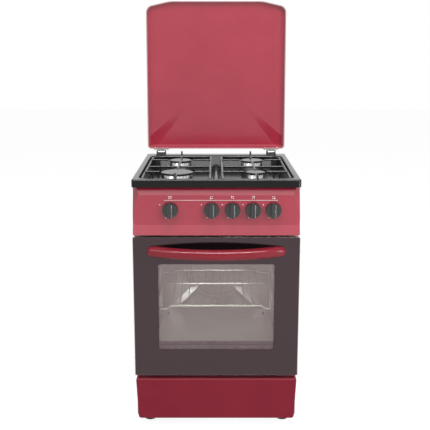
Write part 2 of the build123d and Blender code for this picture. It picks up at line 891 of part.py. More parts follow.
def tap_body(x):
    """Brass tap body saddled on the manifold."""
    back = tap_front + tap_length
    body = rod((x, tap_front, knob_z), (x, back, knob_z), tap_radius)
    saddle = slab(x - saddle_width / 2, x + saddle_width / 2, manifold_y - saddle_depth / 2,
                  manifold_y + saddle_depth / 2, manifold_z, knob_z)
    chamber = rod((x, tap_front + tap_end_wall, knob_z), (x, back - tap_end_wall, knob_z),
                  plug_radius + running_gap)
    mouth = rod((x, tap_front, knob_z), (x, tap_front + tap_end_wall, knob_z), spindle_radius + screw_gap)
    pipe_hole = rod((-half, manifold_y, manifold_z), (half, manifold_y, manifold_z),
                    manifold_radius + running_gap)
    return body + saddle - chamber - mouth - pipe_hole


def gas_manifold():
    """The gas rail behind the taps, its supply pipe and the threaded inlet at the back."""
    left = (-inside_half, manifold_y, manifold_z)
    right = (inside_half, manifold_y, manifold_z)
    tee = (supply_x, manifold_y, manifold_z)
    panel_back = (supply_x, body_back + sheet, manifold_z)
    collar_back = (supply_x, body_back + sheet + inlet_collar, manifold_z)
    end = (supply_x, body_back + sheet + inlet_collar + inlet_length, manifold_z)
    tubes = rod(left, right, manifold_radius) + rod(tee, end, supply_radius)
    inlet = rod(panel_back, collar_back, inlet_collar_radius) + rod(collar_back, end, inlet_radius)
    return tubes + inlet - rod(left, right, manifold_bore) - rod(tee, end, inlet_bore)


def feed_pipes():
    """Five pipes from the taps: four to the burners and one round the oven to its burner."""
    start = tap_front + tap_length
    turn = start + 2 * pipe_bend + pipe_radius
    oven, left_front, left_back, right_back, right_front = knob_x
    front_end = burner_front_y - injector_reach
    back_end = burner_back_y - injector_reach
    between = (burner_front_y + burner_back_y) / 2
    inner_run = (left_back + right_back) / 2
    routes = (
        ((left_front, start), (left_front, turn), (-burner_x, turn), (-burner_x, front_end)),
        ((left_back, start), (left_back, between), (-burner_x, between), (-burner_x, back_end)),
        ((right_back, start), (right_back, turn), (inner_run, turn), (inner_run, between),
         (burner_x, between), (burner_x, back_end)),
        ((right_front, start), (right_front, turn), (burner_x, turn), (burner_x, front_end)),
    )
    pipes = [bent_rod([(x, y, knob_z) for x, y in route], pipe_radius, pipe_bend) for route in routes]
    oven_route = [(oven, start, knob_z), (oven, turn, knob_z), (oven_pipe_x, turn, knob_z),
                  (oven_pipe_x, turn, oven_burner_z), (oven_pipe_x, oven_pipe_back, oven_burner_z),
                  (0, oven_pipe_back, oven_burner_z), (0, oven_inlet(), oven_burner_z)]
    return pipes + [bent_rod(oven_route, pipe_radius, pipe_bend)]


def oven_inlet():
    return cavity_back + enamel_sheet + 2 * pipe_bend - pipe_radius


def oven_burner():
    """Straight oven burner on two feet, with its inlet through the back of the cavity."""
    tube = rod((0, oven_burner_front, oven_burner_z), (0, oven_inlet(), oven_burner_z), oven_burner_radius)
    floor = cavity_bottom + enamel_sheet
    for y in (oven_burner_front + oven_burner_foot, cavity_back - 2 * oven_burner_foot):
        reach = oven_burner_foot / 2
        tube = tube + slab(-reach, reach, y - reach, y + reach, floor, oven_burner_z)
    return tube


def cavity_box(grow, front):
    reach = cavity_half + grow
    return slab(-reach, reach, front, cavity_back + grow, cavity_bottom + enamel_sheet - grow,
                cavity_top + grow)


def ring_form(y0, y1, z, radius0, radius1):
    """Round form about a line along Y, whose radius goes from radius0 at y0 to radius1 at y1."""
    return Pos(0, (y0 + y1) / 2, z) * Rot(-90, 0, 0) * Cone(radius0, radius1, y1 - y0)


def back_wall_relief(inset, back):
    """The two round steps and the diagonal ribs pressed in the oven's back wall, each as deep as back."""
    wall = cavity_back + inset
    rise = back_emboss / 2
    relief = None
    for step in range(2):
        face = wall - (step + 1) * rise
        radius = back_disc_radius - back_ring_slope - step * back_ring_step
        foot = radius + back_ring_slope * (back - face) / rise
        form = ring_form(face, back, back_disc_z, radius, foot)
        relief = form if relief is None else relief + form
    ridge = wall - back_emboss
    half = (back - ridge) * back_rib_width / 2 / back_emboss
    reach = cavity_half - back_rib_width - inset
    low = cavity_bottom + floor_plate_height + inset
    bounds = slab(-reach, reach, ridge, back, low, cavity_top - back_rib_width - inset)
    roof = Plane.YZ * Polygon((ridge, 0), (back, -half), (back, half), align=None)
    rib = extrude(roof, amount=math.sqrt(2) * reach, both=True)
    for tilt in (45, -45):
        relief = relief + (Pos(0, 0, back_disc_z) * Rot(0, tilt, 0) * rib & bounds)
    return relief


def oven_cavity():
    """Enamelled oven box with its front frame, and the pressed back wall that is let into it."""
    box = cavity_box(enamel_sheet, front_frame_y)
    frame = slab(-front_frame_half, front_frame_half, front_frame_y, body_front,
                 cavity_bottom, front_frame_top)
    cavity = box + frame - cavity_box(0, front_frame_y - enamel_sheet)
    back = cavity_back + enamel_sheet + cut_over
    cavity = cavity + back_wall_relief(0, cavity_back + enamel_sheet / 2)
    cavity = cavity - back_wall_relief(enamel_sheet, back)
    front = cavity_back - back_emboss - cut_over
    cavity = cavity - rod((0, front, oven_burner_z), (0, back, oven_burner_z),
                          oven_burner_radius + soft_gap)
    slot_low = door_bracket_x - door_slot_gap
    slot_high = door_bracket_x + door_bracket_thick + door_slot_gap
    slot_top = door_axis_z + door_bracket_eye + door_slot_gap
    slot = slab(slot_low, slot_high, front_frame_y - cut_over, body_front + cut_over,
                cavity_bottom - cut_over, slot_top)
    cavity = cavity - slot - flip(slot)
    wall = slab(-cavity_half, cavity_half, front, back, cavity_bottom + enamel_sheet, cavity_top)
    return group([cavity - wall, cavity & wall])


def oven_floor_plate():
    """Removable floor over the burner, standing on its turned-down sides, with flame slots."""
    reach = cavity_half - floor_plate_gap
    base = cavity_bottom + enamel_sheet
    top = base + floor_plate_height
    front = body_front + floor_plate_setback
    back = cavity_back - back_emboss - floor_plate_gap
    plate = slab(-reach, reach, front, back, top - sheet, top)
    edge = slab(reach - sheet, reach, front, back, base, top)
    slots = []
    count = int((back - front) / (2 * floor_slot_length))
    for step in range(count):
        y = front + (step + 1) * (back - front) / (count + 1)
        x = reach - floor_slot_inset
        slots.append(Pos(x, y, top) * Box(floor_slot_width, floor_slot_length, 2 * (sheet + cut_over)))
    return plate + edge + flip(edge) - slots - [flip(slot) for slot in slots]


def oven_insulation():
    """Mineral wool round the top, sides and back of the oven."""
    inner = cavity_half + enamel_sheet
    outer = inner + insulation_thick
    front = body_front + 2 * sheet
    wool_inner_back = cavity_back + enamel_sheet
    wool_inner_top = cavity_top + enamel_sheet
    wool = slab(-outer, outer, front, wool_inner_back + insulation_thick, insulation_bottom,
                wool_inner_top + insulation_thick)
    return wool - slab(-inner, inner, front - cut_over, wool_inner_back, insulation_bottom - cut_over,
                       wool_inner_top)


def door_seal():
    """Seal round the oven's mouth."""
    reach = cavity_half + seal_inner_margin
    low = insulation_bottom - seal_inner_margin
    high = cavity_top + seal_inner_margin
    front = door_depth + soft_gap
    outer = reach + seal_width
    ring = slab(-outer, outer, front, front_frame_y, low - seal_width, high + seal_width)
    return ring - slab(-reach, reach, front - cut_over, front_frame_y + cut_over, low, high)


def runner_rail_x():
    return cavity_half - soft_gap - 2 * runner_wire


def runner_post_face():
    return runner_rail_x() + runner_wire / 2


def shelf_rail_level():
    return shelf_level - shelf_end_drop


def runner_levels():
    middle = shelf_rail_level() - shelf_wire - soft_gap - runner_wire
    return [middle - runner_spacing, middle, middle + runner_spacing]


def shelf_runner():
    """The right side rack: three rails on two posts against the cavity wall."""
    rail_x = runner_rail_x()
    levels = runner_levels()
    bottom = levels[0] - 2 * runner_wire
    top = levels[-1] + 2 * runner_wire
    reach = runner_post_width / 2
    rack = rod((rail_x, shelf_front, levels[0]), (rail_x, shelf_back, levels[0]), runner_wire)
    for y in (shelf_front + runner_post_inset, shelf_back - runner_post_inset):
        rack = rack + slab(runner_post_face(), cavity_half - soft_gap, y - reach, y + reach, bottom, top)
    for z in levels[1:]:
        rack = rack + rod((rail_x, shelf_front, z), (rail_x, shelf_back, z), runner_wire)
    return rack


def oven_shelf():
    """Wire shelf: side rails, two bent cross wires, a straight brace and bars from front to back."""
    low = shelf_rail_level()
    side_x = runner_post_face() - soft_gap - shelf_side_wire
    ramp_end = shelf_flat_half + shelf_ramp
    shelf = None
    for y in (shelf_front, shelf_back):
        points = [(-side_x, y, low), (-ramp_end, y, low), (-shelf_flat_half, y, shelf_level),
                  (shelf_flat_half, y, shelf_level), (ramp_end, y, low), (side_x, y, low)]
        wire = bent_rod(points, shelf_wire, shelf_bend)
        shelf = wire if shelf is None else shelf + wire
    brace_y = shelf_front + shelf_brace_setback
    shelf = shelf + rod((-shelf_brace_half, brace_y, shelf_level), (shelf_brace_half, brace_y, shelf_level),
                        shelf_wire)
    front = shelf_front - shelf_wire
    back = shelf_back + shelf_wire
    for x in (-side_x, side_x):
        shelf = shelf + rod((x, front, low), (x, back, low), shelf_side_wire)
    for step in range(shelf_bar_count):
        x = (step - (shelf_bar_count - 1) / 2) * shelf_pitch
        bar_z = shelf_level + shelf_wire + shelf_bar - shelf_weld
        shelf = shelf + rod((x, front, bar_z), (x, back, bar_z), shelf_bar)
    return shelf


def door_outer_glass():
    outline = RectangleRounded(width, door_top - door_bottom, door_glass_corner)
    pane = facing(Pos(0, (door_bottom + door_top) / 2) * outline, 0, glass)
    return chamfer(pane.edges().group_by(Axis.Y)[0], sheet / 2)


def door_inner_frame():
    """Steel tray behind the door glass, with the inner window and slots for the hinges."""
    reach = door_frame_half
    tray = slab(-reach, reach, glass, door_depth, door_frame_bottom, door_frame_top)
    tray = tray - slab(-reach + sheet, reach - sheet, glass, door_depth - sheet,
                       door_frame_bottom + sheet, door_frame_top - sheet)
    window = slab(-door_window_half, door_window_half, glass, door_depth + cut_over,
                  door_window_bottom, door_window_top)
    slot_end = door_arm_x() + door_arm_thick + door_slot_gap
    slot = slab(door_bracket_x - door_slot_gap, slot_end, door_axis_y - door_bracket_eye - door_slot_gap,
                door_depth + cut_over, door_frame_bottom - cut_over,
                door_axis_z + door_bracket_eye + door_slot_gap)
    return tray - window - slot - flip(slot)


def door_inner_glass():
    reach = door_window_half + inner_glass_margin
    back = door_depth - sheet
    return slab(-reach, reach, back - glass, back, door_window_bottom - inner_glass_margin,
                door_window_top + inner_glass_margin)


def door_handle():
    """Bowed bar that springs from the glass at both ends, which are round."""
    tip = handle_half
    heel = tip - handle_foot
    outer = ThreePointArc((-tip, -handle_end_thick), (0, -handle_reach), (tip, -handle_end_thick))
    inner = ThreePointArc((heel, 0), (0, handle_thick - handle_reach), (-heel, 0))
    right = Polyline((tip, -handle_end_thick), (tip, 0), (heel, 0))
    left = Polyline((-heel, 0), (-tip, 0), (-tip, -handle_end_thick))
    plan = make_face([outer, *right.edges(), inner, *left.edges()])
    bar = upright(plan, handle_z - handle_height / 2, handle_z + handle_height / 2)
    outline = Pos(0, handle_z) * SlotOverall(2 * tip, handle_height)
    bar = bar & facing(outline, -handle_reach - cut_over, cut_over)
    front = bar.faces().sort_by(Axis.Y)[0]
    return bar.fillet(handle_edge_round, front.edges())


def door_arm_x():
    return door_bracket_x + door_bracket_thick + door_arm_gap


def door_hinge_bracket():
    """The right fixed bracket: an eye and pin in front, an arm and a foot on the sill."""
    x0 = door_bracket_x
    x1 = door_bracket_x + door_bracket_thick
    eye = rod((x0, door_axis_y, door_axis_z), (x1, door_axis_y, door_axis_z), door_bracket_eye)
    back = body_front + door_bracket_run
    arm = slab(x0, x1, door_axis_y, back, sill_top, door_axis_z + door_bracket_eye / 2)
    foot_front = body_front + 2 * sheet
    plate = slab(x0 - door_bracket_foot / 2, x1, foot_front, back, sill_top, sill_top + sheet)
    pin_end = door_arm_x() + door_arm_thick + door_arm_gap
    pin = rod((x0, door_axis_y, door_axis_z), (pin_end, door_axis_y, door_axis_z), door_pin_radius)
    return eye + arm + plate + pin


def door_hinge_arm():
    """The right hinge arm inside the door, flanged to its inner frame."""
    x0 = door_arm_x()
    x1 = x0 + door_arm_thick
    back = door_depth - sheet
    eye = rod((x0, door_axis_y, door_axis_z), (x1, door_axis_y, door_axis_z), door_bracket_eye)
    top = door_axis_z + door_arm_height
    blade = slab(x0, x1, door_axis_y - door_bracket_eye, door_axis_y + door_arm_depth, door_axis_z, top)
    step = door_axis_z + door_arm_step
    web = slab(x0, x1, door_axis_y, back, step, top)
    flange = slab(x0, x0 + door_arm_flange, back - door_arm_thick, back, step, top)
    hole = rod((x0 - cut_over, door_axis_y, door_axis_z), (x1 + cut_over, door_axis_y, door_axis_z),
               door_pin_radius + running_gap)
    return eye + blade + web + flange - hole


def drawer_form(inset, back):
    """The drawer front as a solid, drawn smaller by a sheet for its hollow inside."""
    top_half = drawer_top_half - inset
    bottom_half = drawer_bottom_half - inset
    low = drawer_bottom + inset
    high = drawer_top - inset
    corners = [(-bottom_half, low), (bottom_half, low), (top_half, high), (-top_half, high)]
    outline = make_face(Polyline(*corners, close=True))
    outline = fillet(outline.vertices().group_by(Axis.Y)[0], drawer_bottom_corner - inset)
    outline = fillet(outline.vertices().group_by(Axis.Y)[-1], drawer_top_corner - inset)
    block = facing(outline, 0, back)
    side = Polyline((drawer_top_setback + inset, drawer_top), (back, drawer_top), (back, drawer_bottom),
                    (drawer_bottom_setback + inset, drawer_bottom), close=True)
    form = block & across(make_face(side), -half, half)
    return round_face(form, Axis.Y, drawer_edge_round - inset)


def drawer_front():
    """Pressed drawer front with a lip turned in behind for the tray."""
    shell = drawer_form(0, drawer_front_back) - drawer_form(sheet, drawer_front_back - sheet)
    reach = drawer_bottom_half - drawer_lip
    mouth = slab(-reach, reach, drawer_front_back - sheet - cut_over, drawer_front_back + cut_over,
                 drawer_bottom + drawer_lip, drawer_top - drawer_lip)
    return shell - mouth


def drawer_tray():
    """Sheet tray on the runners, with a plate that fixes it to the front."""
    reach = tray_half
    top = tray_bottom + tray_height
    tray = slab(-reach, reach, drawer_front_back, tray_back, tray_bottom, top)
    tray = tray - slab(-reach + sheet, reach - sheet, drawer_front_back + sheet, tray_back - sheet,
                       tray_bottom + sheet, top + cut_over)
    plate = slab(-tray_plate_half, tray_plate_half, drawer_front_back, drawer_front_back + sheet,
                 drawer_bottom + tray_plate_margin, drawer_top - tray_plate_margin)
    return tray + plate


def drawer_runner():
    """The right runner: an angle on the base pan's edge that the tray slides on."""
    outer = inside_half - sheet
    top = tray_bottom - soft_gap
    front = body_front + sheet + runner_thick
    bottom = top - runner_thick
    ledge = slab(outer - runner_width, outer, front, tray_back, bottom, top)
    leg = slab(outer - runner_thick, outer, front, tray_back, bottom, bottom + runner_leg)
    return ledge + leg


# Body
pieces["side_panel_right"] = side_panel()
pieces["side_panel_left"] = flip(side_panel())
pieces["back_panel"] = back_panel()
pieces["back_panel_screws"] = both_sides(group([back_screw(z) for z in back_screw_heights]))
pieces["base_pan"] = base_pan()
pieces["adjustable_feet"] = group([foot(x, y) for x, y in foot_places()])
pieces["sill_rail"] = sill_rail()

# Hob, burners and pan supports
pieces["hob_top"] = hob_top()
pieces["burner_cups"] = group([burner_cup(x, y) for name, x, y, radius in burners])
for name, x, y, radius in burners:
    pieces["burner_head_" + name] = burner_head(x, y, radius)
    pieces["burner_cap_" + name] = burner_cap(x, y, radius)
pieces["pan_support_right"] = pan_support(small_radius, medium_radius)
pieces["pan_support_left"] = flip(pan_support(rapid_radius, medium_radius))

# Lid and its hinges
pieces["lid_panel"] = lid_panel()
pieces["lid_hinge_leaves"] = both_sides(lid_leaf())
pieces["lid_screws"] = both_sides(group([leaf_screw(x) for x in leaf_screw_xs()]))
pieces["lid_hinge_bases"] = both_sides(lid_hinge_base())
pieces["lid_hinge_pins"] = both_sides(lid_pin_rod(lid_pin_radius))

# Control panel, knobs, taps and gas pipes
pieces["control_panel"] = control_panel()
pieces["gas_manifold"] = gas_manifold()
pieces["gas_taps"] = group([tap_body(x) for x in knob_x])
pieces["gas_pipes"] = group(feed_pipes())
for number, x in enumerate(knob_x, start=1):
    pieces[f"tap_plug_{number}"] = tap_plug(x)
    pieces[f"tap_spindle_{number}"] = tap_spindle(x)
    pieces[f"knob_{number}"] = knob(x)

# Oven
pieces["oven_cavity"] = oven_cavity()
pieces["oven_floor_plate"] = oven_floor_plate()
pieces["oven_burner"] = oven_burner()
pieces["oven_insulation"] = oven_insulation()
pieces["door_seal"] = door_seal()
pieces["shelf_runners"] = both_sides(shelf_runner())
pieces["oven_shelf"] = oven_shelf()

# Oven door
pieces["door_outer_glass"] = door_outer_glass()
pieces["door_inner_frame"] = door_inner_frame()
pieces["door_inner_glass"] = door_inner_glass()
pieces["door_handle"] = door_handle()
pieces["door_hinge_arms"] = both_sides(door_hinge_arm())
pieces["door_hinge_brackets"] = both_sides(door_hinge_bracket())

# Drawer
pieces["drawer_front"] = drawer_front()
pieces["drawer_tray"] = drawer_tray()
pieces["drawer_runners"] = both_sides(drawer_runner())

# Move the origin to the middle of the base, then write one file for each piece
boxes = [piece.bounding_box() for piece in pieces.values()]
depth_middle = (min(box.min.Y for box in boxes) + max(box.max.Y for box in boxes)) / 2
os.makedirs("parts", exist_ok=True)
for name, piece in pieces.items():
    solids = [Pos(0, -depth_middle, 0) * solid for solid in piece.solids()]
    export_step(solids[0] if len(solids) == 1 else Compound(solids), f"parts/{name}.step")
print("origin lies", round(depth_middle, 4), "behind the door's face")
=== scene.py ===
# Finishes, printed marks, studio and camera of a free-standing gas cooker
import math

import bmesh
import bpy
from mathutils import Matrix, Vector


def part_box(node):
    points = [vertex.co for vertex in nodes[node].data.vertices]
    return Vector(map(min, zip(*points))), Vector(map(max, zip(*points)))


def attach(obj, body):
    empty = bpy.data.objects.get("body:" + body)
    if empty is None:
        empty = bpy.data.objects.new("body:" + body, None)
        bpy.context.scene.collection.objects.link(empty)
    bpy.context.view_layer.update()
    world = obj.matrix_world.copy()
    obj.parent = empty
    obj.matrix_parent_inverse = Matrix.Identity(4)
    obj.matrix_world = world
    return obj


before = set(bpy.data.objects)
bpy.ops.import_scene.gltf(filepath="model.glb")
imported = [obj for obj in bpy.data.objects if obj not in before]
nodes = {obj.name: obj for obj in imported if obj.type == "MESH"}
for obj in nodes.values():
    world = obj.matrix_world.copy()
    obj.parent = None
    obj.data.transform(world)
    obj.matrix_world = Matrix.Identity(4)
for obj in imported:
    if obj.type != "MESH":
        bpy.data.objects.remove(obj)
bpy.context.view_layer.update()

MM = 0.001
# The door's face lies this far in front of the model's origin
door_face = -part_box("door_outer_glass")[0][1] / MM


def place(x, y, z):
    """A point in metres from millimetres: x to the right, y back from the door's face, z up."""
    return Vector((x * MM, (y - door_face) * MM, z * MM))


def linear(colour):
    """An sRGB hex colour as linear red, green, blue and full alpha."""
    values = []
    for start in (1, 3, 5):
        value = int(colour[start:start + 2], 16) / 255
        values.append(value / 12.92 if value <= 0.04045 else ((value + 0.055) / 1.055) ** 2.4)
    return (*values, 1.0)


def add(tree, kind, links=(), **settings):
    """A node of that kind with its settings, its fixed inputs and its linked inputs."""
    node = tree.nodes.new(kind)
    for name, value in settings.items():
        setattr(node, name, value)
    for name, value in dict(links).items():
        if isinstance(value, bpy.types.NodeSocket):
            tree.links.new(value, node.inputs[name])
        else:
            node.inputs[name].default_value = value
    return node


def finish(name, **inputs):
    """A new material with one shader: its inputs are given by name, with _ for a space."""
    material = bpy.data.materials.new(name)
    material.use_nodes = True
    tree = material.node_tree
    shader = tree.nodes["Principled BSDF"]
    for key, value in inputs.items():
        shader.inputs[key.replace("_", " ")].default_value = value
    return material, tree, shader


def vary(tree, shader, size_mm, detail=2.0, stretch=(1, 1, 1), colours=None, rough=None, bump_mm=None):
    """Blotches about size_mm across that move what is given: colour, roughness or height.

    colours are the hex values of the dark and the light blotches, rough the lowest and highest roughness,
    and bump_mm is how high the blotches stand.
    """
    # The noise lies mostly between these two values
    ramp_ends = (0.3, 0.7)
    where = add(tree, "ShaderNodeTexCoord")
    stretched = add(tree, "ShaderNodeMapping", {"Vector": where.outputs["Object"], "Scale": stretch})
    noise = add(tree, "ShaderNodeTexNoise", {
        "Vector": stretched.outputs["Vector"],
        "Scale": 1 / (size_mm * MM),
        "Detail": detail,
    })
    blotches = noise.outputs["Fac"]
    if colours:
        ramp = add(tree, "ShaderNodeValToRGB", {"Fac": blotches})
        for stop, end, colour in zip(ramp.color_ramp.elements, ramp_ends, colours):
            stop.position = end
            stop.color = linear(colour)
        tree.links.new(ramp.outputs["Color"], shader.inputs["Base Color"])
    if rough:
        dullness = add(tree, "ShaderNodeMapRange", {
            "Value": blotches,
            "To Min": rough[0],
            "To Max": rough[1],
        })
        tree.links.new(dullness.outputs["Result"], shader.inputs["Roughness"])
    if bump_mm:
        bump = add(tree, "ShaderNodeBump", {"Height": blotches, "Distance": bump_mm * MM, "Strength": 1.0})
        tree.links.new(bump.outputs["Normal"], shader.inputs["Normal"])


# Enamel or paint, sprayed and fired on pressed steel: even in colour, with a very slight ripple of 14 mm
def fired_enamel(name, colours, rough, ripple_mm, **inputs):
    material, tree, shader = finish(name, IOR=1.6, **inputs)
    vary(tree, shader, size_mm=90, colours=colours)
    vary(tree, shader, size_mm=14, detail=1.0, rough=rough, bump_mm=ripple_mm)
    return material


# Vitreous enamel of the lid and the control panel: a deep wet gloss
red_enamel = fired_enamel(
    "vitreous_enamel_red", colours=("#A32A3E", "#A92E42"), rough=(0.13, 0.18), ripple_mm=0.015)
# Baked paint of the drawer's front: duller than the enamel, and painted darker as painted shade low on the
# cooker
shaded_drawer_paint = fired_enamel(
    "baked_paint_red_with_painted_shade", colours=("#801E2F", "#862132"), rough=(0.4, 0.48), ripple_mm=0.02,
    Specular_IOR_Level=0.12)
# Stove enamel of the sides: smooth, with a softer gloss
side_enamel = fired_enamel(
    "stove_enamel_red", colours=("#A02A3E", "#A62E41"), rough=(0.23, 0.27), ripple_mm=0.006)
# Vitreous enamel of the hob: black and wet
hob_enamel = fired_enamel(
    "vitreous_enamel_black", colours=("#0B0B0C", "#101011"), rough=(0.1, 0.16), ripple_mm=0.01,
    Specular_IOR_Level=0.18)
# Vitreous enamel of the oven: a grey ground coat with a half gloss
oven_enamel = fired_enamel(
    "vitreous_enamel_grey", colours=("#8B8682", "#96918D"), rough=(0.30, 0.42), ripple_mm=0.02)


# Gloss enamel on the pressed burner caps: wet black with a slight orange-peel of about 5 mm
def cap_finish():
    material, tree, shader = finish("gloss_enamel_black", IOR=1.52, Specular_IOR_Level=0.25)
    vary(tree, shader, size_mm=5, colours=("#131314", "#1A1A1B"), rough=(0.14, 0.22), bump_mm=0.02)
    return material


# Black enamel dipped over steel wire: it gathers in drops of about 6 mm, which break up the gloss
def wire_finish():
    material, tree, shader = finish("dipped_enamel_black", IOR=1.52)
    vary(tree, shader, size_mm=6, colours=("#1B1B1C", "#242426"), rough=(0.22, 0.36), bump_mm=0.05)
    return material


# Cast and tumbled zinc or aluminium, and drawn aluminium tube: pale, with a soft directionless shine.
# Its grain is finer than a millimetre, and is drawn as 3 mm to show
def pale_metal(name, colours, rough):
    material, tree, shader = finish(name, Metallic=1.0)
    vary(tree, shader, size_mm=3, detail=3.0, colours=colours, rough=rough, bump_mm=0.02)
    return material


# Burner heads of cast aluminium: turned bright round the flame slots, rough below, and painted dark there
# as painted shade low in the well.
# Their sand grain is drawn as 3 mm to show
def burner_finish():
    # The four heads are equally high, and the casting turns bright between these heights
    head_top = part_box("burner_head_front_left")[1][2]
    turned_from = head_top - 15 * MM
    turned_full = head_top - 10 * MM
    cast_rough = 0.5
    turned_rough = 0.18
    material, tree, shader = finish("turned_cast_aluminium", Metallic=1.0)
    # The dark colour of the casting below the turned band is painted shade
    vary(tree, shader, size_mm=3, detail=3.0, colours=("#3A3938", "#4C4B4A"), bump_mm=0.02)
    shaded_casting = shader.inputs["Base Color"].links[0].from_socket
    where = add(tree, "ShaderNodeTexCoord")
    spot = add(tree, "ShaderNodeSeparateXYZ", {"Vector": where.outputs["Object"]})
    turned = add(tree, "ShaderNodeMapRange", {
        "Value": spot.outputs["Z"],
        "From Min": turned_from,
        "From Max": turned_full,
    })
    shade = add(tree, "ShaderNodeMix", {
        "Factor": turned.outputs["Result"],
        "A": shaded_casting,
        "B": linear("#C4C4C3"),
    }, data_type="RGBA")
    tree.links.new(shade.outputs["Result"], shader.inputs["Base Color"])
    dullness = add(tree, "ShaderNodeMapRange", {
        "Value": turned.outputs["Result"],
        "To Min": cast_rough,
        "To Max": turned_rough,
    })
    tree.links.new(dullness.outputs["Result"], shader.inputs["Roughness"])
    return material


# Lacquered plastic of the handle: smooth and glossy in the enamel's colour, its back, which faces the
# door, painted near black as painted shade
def handle_finish():
    # How far the surface faces back, from 0 to 1, where the lacquer ends and the painted shade starts
    lacquer_ends = 0.3
    painted_shade_starts = 0.4
    material, tree, shader = finish("lacquered_plastic_red", IOR=1.49, Specular_IOR_Level=0.3)
    vary(tree, shader, size_mm=60, colours=("#871527", "#8D192B"))
    vary(tree, shader, size_mm=9, detail=1.0, rough=(0.09, 0.13), bump_mm=0.01)
    lacquer = shader.inputs["Base Color"].links[0].from_socket
    where = add(tree, "ShaderNodeTexCoord")
    facing = add(tree, "ShaderNodeSeparateXYZ", {"Vector": where.outputs["Normal"]})
    shaded_back = add(tree, "ShaderNodeMapRange", {
        "Value": facing.outputs["Y"],
        "From Min": lacquer_ends,
        "From Max": painted_shade_starts,
    })
    # The near black on the side facing the door is painted shade, which the door's glass mirrors
    lacquer_and_painted_shade = add(tree, "ShaderNodeMix", {
        "Factor": shaded_back.outputs["Result"],
        "A": lacquer,
        "B": linear("#101113"),
    }, data_type="RGBA")
    tree.links.new(lacquer_and_painted_shade.outputs["Result"], shader.inputs["Base Color"])
    return material


# Moulded phenolic of the knobs: dark grey, spark-eroded tool texture of half a millimetre, drawn as 1.2 mm
def knob_finish():
    material, tree, shader = finish("moulded_phenolic_grey", IOR=1.55)
    vary(tree, shader, size_mm=1.2, colours=("#222222", "#2B2B2B"), rough=(0.21, 0.28), bump_mm=0.02)
    return material


# Moulded nylon of the feet and the lid hinges' bases: black, dull, with flow marks about 5 mm wide
def nylon_finish():
    material, tree, shader = finish("moulded_nylon_black", IOR=1.5)
    vary(tree, shader, size_mm=5, colours=("#161616", "#1E1E1E"), rough=(0.5, 0.62), bump_mm=0.03)
    return material


# Hot-dip zinc on folded sheet: spangle crystals about 8 mm across, each with its own shade and gloss
def zinc_finish():
    spangle_mm = 8
    rough_low = 0.32
    rough_high = 0.48
    material, tree, shader = finish("zinc_coated_sheet", Metallic=1.0)
    where = add(tree, "ShaderNodeTexCoord")
    spangle = add(tree, "ShaderNodeTexVoronoi", {
        "Vector": where.outputs["Object"],
        "Scale": 1 / (spangle_mm * MM),
    })
    crystal = add(tree, "ShaderNodeSeparateColor", {"Color": spangle.outputs["Color"]})
    shade = add(tree, "ShaderNodeValToRGB", {"Fac": crystal.outputs["Red"]})
    shade.color_ramp.elements[0].color = linear("#A9ACAD")
    shade.color_ramp.elements[1].color = linear("#C3C6C7")
    tree.links.new(shade.outputs["Color"], shader.inputs["Base Color"])
    dullness = add(tree, "ShaderNodeMapRange", {
        "Value": crystal.outputs["Green"],
        "To Min": rough_low,
        "To Max": rough_high,
    })
    tree.links.new(dullness.outputs["Result"], shader.inputs["Roughness"])
    return material


# Plated or stainless steel of screws, pins, hinge arms and the oven's burner: bright and finely turned.
# The tool marks are finer than a millimetre, and are drawn as 1.5 mm to show
def bright_steel(name, colours):
    material, tree, shader = finish(name, Metallic=1.0)
    vary(tree, shader, size_mm=1.5, stretch=(1, 1, 4), colours=colours, rough=(0.22, 0.34))
    return material


# Chrome plate on drawn wire: a clean mirror, slightly dulled by heat in patches of about 30 mm
def chrome_finish():
    material, tree, shader = finish("chrome_plated_wire", Metallic=1.0)
    vary(tree, shader, size_mm=30, colours=("#E2E1DC", "#ECEBE7"), rough=(0.2, 0.28))
    return material


# Machined brass of the gas taps: warm yellow with fine tool marks, drawn as 1.2 mm to show
def brass_finish():
    material, tree, shader = finish("machined_brass", Metallic=1.0)
    vary(tree, shader, size_mm=1.2, stretch=(1, 5, 1), colours=("#B08D45", "#C39F55"), rough=(0.2, 0.32))
    return material


# Mineral wool: matted fibres about 2 mm apart, dull, and painted dark as painted shade in the gaps where
# it shows
def wool_finish():
    material, tree, shader = finish("mineral_wool", Roughness=0.95, Specular_IOR_Level=0.0)
    vary(tree, shader, size_mm=2, detail=6.0, stretch=(1, 1, 3), colours=("#2B2926", "#3A3733"),
         bump_mm=0.6)
    return material


# Extruded silicone seal: dark and dull, with a skin that is uneven over about 3 mm
def seal_finish():
    material, tree, shader = finish("extruded_silicone", IOR=1.42)
    vary(tree, shader, size_mm=3, colours=("#1C1B1B", "#262525"), rough=(0.55, 0.68))
    return material


# Tempered soda-lime glass: clear with a faint smoke, its roller wave of about 120 mm too slight to see
def glass_finish(name, colour, ior, shine):
    material, tree, shader = finish(name, IOR=ior, Transmission_Weight=1.0, Base_Color=linear(colour),
                                    Specular_Tint=linear(shine))
    vary(tree, shader, size_mm=120, rough=(0.0, 0.015))
    return material


# Ceramic ink fired on the door's glass: near black, a little brown, with the glass's own mirror gloss.
# The grain of its screen print is finer than a millimetre, and is drawn as 4 mm
def border_finish():
    material, tree, shader = finish("ceramic_ink_dark", IOR=1.6, Specular_Tint=linear("#FFDCE4"))
    vary(tree, shader, size_mm=4, colours=("#120D0F", "#170F12"), rough=(0.01, 0.03))
    return material


# White pad print on the control panel: matt ink in a film that is uneven over about 1 mm
def print_finish():
    material, tree, shader = finish("pad_print_white", IOR=1.5)
    vary(tree, shader, size_mm=1.0, colours=("#DCD6D4", "#EAE5E3"), rough=(0.45, 0.6))
    return material


